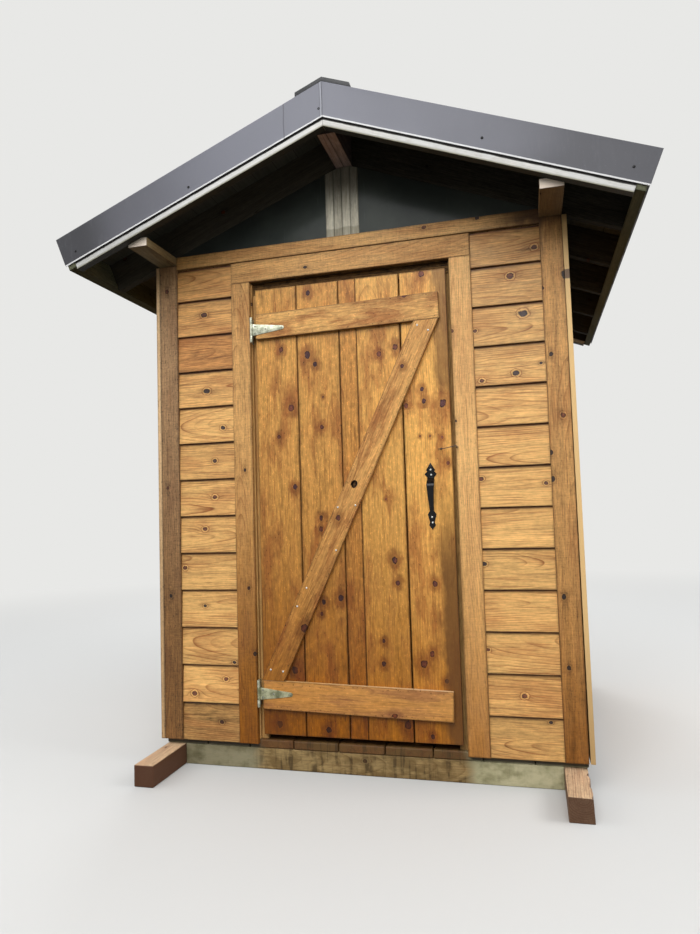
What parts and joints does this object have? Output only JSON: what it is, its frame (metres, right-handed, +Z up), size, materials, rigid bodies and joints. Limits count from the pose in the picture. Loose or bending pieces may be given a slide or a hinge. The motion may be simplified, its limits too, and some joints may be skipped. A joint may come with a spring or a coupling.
{
  "type": "recreation cabin",
  "caption": "Small timber cabin on two skids with lap siding, a ledged and braced door, glazed gables and a metal gable roof.",
  "frame": {"origin": "on the ground under the centre of the roof's outline", "axes": "+Z up, the door is in the side that faces -Y, +X to the right of someone who faces the door"},
  "size_m": [2.5018, 2.441, 2.8722],
  "materials": {
    "siding": "satin",
    "trim": "satin",
    "door_wood": "satin",
    "framing": "satin",
    "treated_wood": "satin",
    "skid_wood": "satin",
    "floor_wood": "satin",
    "deck_wood": "satin",
    "wall_wood": "satin",
    "roof_metal": "satin",
    "pane": "gloss",
    "zinc": "zinc plated",
    "black_iron": "painted"
  },
  "bodies": {
    "root": {"front_siding": "siding", "back_siding": "siding", "left_siding": "siding", "right_siding": "siding", "frieze_front": "trim", "frieze_back": "trim", "corner_boards_front_left": "trim", "corner_boards_front_right": "trim", "corner_boards_back_left": "trim", "corner_boards_back_right": "trim", "door_casing": "trim", "door_jambs": "trim", "top_plate_left": "framing", "top_plate_right": "framing", "ridge_beam": "framing", "rafters_left": "framing", "rafters_right": "framing", "barge_boards_front": "framing", "barge_boards_back": "framing", "king_post_front": "framing", "king_post_back": "framing", "rim_front": "treated_wood", "rim_back": "treated_wood", "floor_joist": "treated_wood", "fascia_left": "treated_wood", "fascia_right": "treated_wood", "skid_left": "skid_wood", "skid_right": "skid_wood", "floor_planks": "floor_wood", "roof_deck": "deck_wood", "left_wall": "wall_wood", "right_wall": "wall_wood", "front_wall_left": "wall_wood", "front_wall_right": "wall_wood", "front_wall_header": "wall_wood", "back_wall": "wall_wood", "roof_sheet_left": "roof_metal", "roof_sheet_right": "roof_metal", "rake_trim_front": "roof_metal", "rake_trim_back": "roof_metal", "ridge_cap": "roof_metal", "gable_panes_front": "pane", "gable_panes_back": "pane", "hinge_leaf_top": "zinc", "hinge_leaf_bottom": "zinc", "casing_eye": "zinc"},
    "door": {"door_boards": "door_wood", "door_batten_top": "door_wood", "door_batten_bottom": "door_wood", "door_brace": "door_wood", "hinge_strap_top": "zinc", "hinge_strap_bottom": "zinc", "door_pull": "black_iron", "door_eye": "zinc"},
    "hook": {"hook": "zinc"}
  },
  "joints": [
    {"name": "door_swing", "type": "hinge", "parent": "root", "child": "door", "pos_m": [-0.448, -0.9265, 1.145], "axis": [0, 0, -1], "range_deg": [0, 170]},
    {"name": "hook_pivot", "type": "hinge", "parent": "door", "child": "hook", "pos_m": [0.391, -0.9345, 1.364], "axis": [0, -1, 0], "range_deg": [0, 110]}
  ]
}
